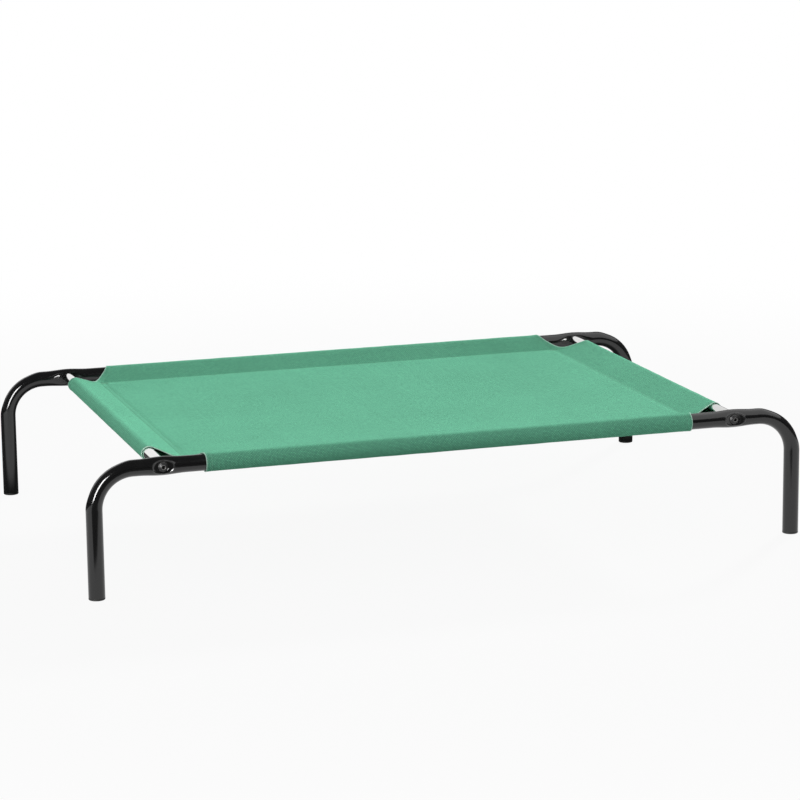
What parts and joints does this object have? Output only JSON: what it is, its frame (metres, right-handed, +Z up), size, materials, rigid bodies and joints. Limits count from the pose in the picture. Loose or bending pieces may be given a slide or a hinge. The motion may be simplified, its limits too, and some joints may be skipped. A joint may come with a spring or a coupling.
{
  "type": "raised dog cot",
  "caption": "Low raised pet cot: a bent black tube frame on legs, bolted plated end bars, and a green woven cover stretched flat between them by sewn sleeves.",
  "frame": {"origin": "on the floor, under the middle of the cot", "axes": "+X along the length to the right, +Y to the rear, +Z up"},
  "size_m": [1.1, 0.687, 0.2005],
  "materials": {
    "woven_cloth": "matt coated weave",
    "black_powder_coat": "semi-gloss powder coat",
    "bright_plating": "bright zinc plating",
    "bare_steel": "turned steel",
    "black_oxide_steel": "black oxide",
    "black_plastic": "moulded matt"
  },
  "bodies": {
    "root": {"cover": "woven_cloth", "leg_rail_front_left": "black_powder_coat", "leg_rail_front_right": "black_powder_coat", "leg_rail_rear_left": "black_powder_coat", "leg_rail_rear_right": "black_powder_coat", "end_bar_left": "bright_plating", "end_bar_right": "bright_plating", "bar_nut_front_left": "bare_steel", "bar_nut_front_right": "bare_steel", "bar_nut_rear_left": "bare_steel", "bar_nut_rear_right": "bare_steel", "bolt_front_left": "black_oxide_steel", "bolt_front_right": "black_oxide_steel", "bolt_rear_left": "black_oxide_steel", "bolt_rear_right": "black_oxide_steel", "foot_plug_front_left": "black_plastic", "foot_plug_front_right": "black_plastic", "foot_plug_rear_left": "black_plastic", "foot_plug_rear_right": "black_plastic"}
  },
  "joints": []
}
